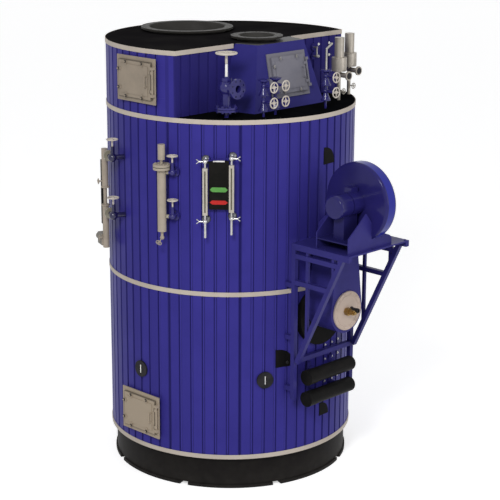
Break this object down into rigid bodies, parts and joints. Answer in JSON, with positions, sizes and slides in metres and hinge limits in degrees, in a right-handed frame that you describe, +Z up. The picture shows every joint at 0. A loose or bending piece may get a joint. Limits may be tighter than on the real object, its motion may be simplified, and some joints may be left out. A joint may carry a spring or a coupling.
{
  "type": "marine boiler",
  "caption": "Vertical oil-fired marine boiler: ribbed clad drum on a foot ring, smoke house with uptakes, hinged doors, gauges, deck valves, burner and fan.",
  "frame": {"origin": "on the drum's axis at floor level", "axes": "+Z up along the drum's axis, -Y towards the burner, -X towards the two drum doors"},
  "size_m": [2.539, 3.2249, 4.19],
  "materials": {
    "black_paint": "gloss black paint",
    "blue_paint": "satin violet blue paint",
    "cream_paint": "satin cream paint",
    "uptake_steel": "dark bare plate",
    "grey_paint": "satin warm grey paint",
    "bare_steel": "machined steel",
    "lance_brass": "machined brass",
    "white_paint": "satin off-white paint"
  },
  "bodies": {
    "boiler": {"base_ring": "black_paint", "skirt": "black_paint", "bottom_plate": "black_paint", "lower_shell": "blue_paint", "upper_shell": "blue_paint", "deck_plate": "black_paint", "house_wall": "blue_paint", "roof_plate": "black_paint", "cladding_bands": "cream_paint", "smoke_hood": "blue_paint", "exhaust_uptake": "uptake_steel", "furnace_uptake": "uptake_steel", "door_frames": "grey_paint", "inspection_plugs": "uptake_steel", "cladding_ports": "black_paint", "front_gauge_board": "black_paint", "front_gauge_glasses": "cream_paint", "front_gauge_cocks": "bare_steel", "level_column": "cream_paint", "level_column_valves": "bare_steel", "left_column": "cream_paint", "left_indicator": "black_paint", "left_valves": "blue_paint", "main_steam_valve": "blue_paint", "mid_valve_stacks": "blue_paint", "right_valve_stack": "blue_paint", "safety_valves": "cream_paint", "siphon_tubes": "bare_steel", "burner_frame": "blue_paint", "fan_platform": "blue_paint", "fan_stool": "blue_paint", "fan_housing": "blue_paint", "fan_motor": "blue_paint", "air_duct": "blue_paint", "windbox": "blue_paint", "burner_throat": "black_paint", "burner_front": "cream_paint", "burner_lance": "lance_brass", "oil_heaters": "black_paint"},
    "lower_door": {"lower_door": "grey_paint"},
    "house_door": {"house_door": "grey_paint"},
    "hood_door": {"hood_door": "grey_paint"},
    "main_wheel": {"main_wheel": "white_paint"},
    "mid_wheel_1": {"mid_wheel_1": "white_paint"},
    "mid_wheel_2": {"mid_wheel_2": "white_paint"},
    "mid_wheel_3": {"mid_wheel_3": "white_paint"},
    "mid_wheel_4": {"mid_wheel_4": "white_paint"},
    "right_wheel_1": {"right_wheel_1": "white_paint"},
    "right_wheel_2": {"right_wheel_2": "white_paint"},
    "column_wheel_1": {"column_wheel_1": "white_paint"},
    "column_wheel_2": {"column_wheel_2": "white_paint"},
    "left_wheel_1": {"left_wheel_1": "white_paint"},
    "left_wheel_2": {"left_wheel_2": "white_paint"}
  },
  "joints": [
    {"name": "lower_door_hinge", "type": "hinge", "parent": "boiler", "child": "lower_door", "pos_m": [-1.2367, -0.241, 0.655], "axis": [0, 0, 1], "range_deg": [0, 110]},
    {"name": "house_door_hinge", "type": "hinge", "parent": "boiler", "child": "house_door", "pos_m": [-1.2367, -0.241, 3.864], "axis": [0, 0, 1], "range_deg": [0, 110]},
    {"name": "hood_door_hinge", "type": "hinge", "parent": "boiler", "child": "hood_door", "pos_m": [0.271, -0.74358, 3.86303], "axis": [0, 0.2046, 0.9788], "range_deg": [0, 60]},
    {"name": "main_wheel_turn", "type": "hinge", "parent": "boiler", "child": "main_wheel", "pos_m": [-0.77365, -0.7139, 3.826], "axis": [0, 0, 1], "range_deg": [0, 1440]},
    {"name": "mid_wheel_1_turn", "type": "hinge", "parent": "boiler", "child": "mid_wheel_1", "pos_m": [-0.51, -1.05202, 3.691], "axis": [0, -1, 0], "range_deg": [0, 1080]},
    {"name": "mid_wheel_2_turn", "type": "hinge", "parent": "boiler", "child": "mid_wheel_2", "pos_m": [-0.51, -1.05202, 3.831], "axis": [0, -1, 0], "range_deg": [0, 1080]},
    {"name": "mid_wheel_3_turn", "type": "hinge", "parent": "boiler", "child": "mid_wheel_3", "pos_m": [-0.353, -1.04808, 3.691], "axis": [0, -1, 0], "range_deg": [0, 1080]},
    {"name": "mid_wheel_4_turn", "type": "hinge", "parent": "boiler", "child": "mid_wheel_4", "pos_m": [-0.353, -1.04808, 3.831], "axis": [0, -1, 0], "range_deg": [0, 1080]},
    {"name": "right_wheel_1_turn", "type": "hinge", "parent": "boiler", "child": "right_wheel_1", "pos_m": [0.225, -1.14422, 3.713], "axis": [0, -1, 0], "range_deg": [0, 1080]},
    {"name": "right_wheel_2_turn", "type": "hinge", "parent": "boiler", "child": "right_wheel_2", "pos_m": [0.225, -1.14422, 3.853], "axis": [0, -1, 0], "range_deg": [0, 1080]},
    {"name": "column_wheel_1_turn", "type": "hinge", "parent": "boiler", "child": "column_wheel_1", "pos_m": [-1.18083, -0.43431, 2.658], "axis": [0, 0, 1], "range_deg": [0, 1080]},
    {"name": "column_wheel_2_turn", "type": "hinge", "parent": "boiler", "child": "column_wheel_2", "pos_m": [-1.18083, -0.43431, 3.066], "axis": [0, 0, 1], "range_deg": [0, 1080]},
    {"name": "left_wheel_1_turn", "type": "hinge", "parent": "boiler", "child": "left_wheel_1", "pos_m": [-1.28204, 0.26992, 2.561], "axis": [0, 0, 1], "range_deg": [0, 1080]},
    {"name": "left_wheel_2_turn", "type": "hinge", "parent": "boiler", "child": "left_wheel_2", "pos_m": [-1.28204, 0.26992, 3.113], "axis": [0, 0, 1], "range_deg": [0, 1080]}
  ]
}
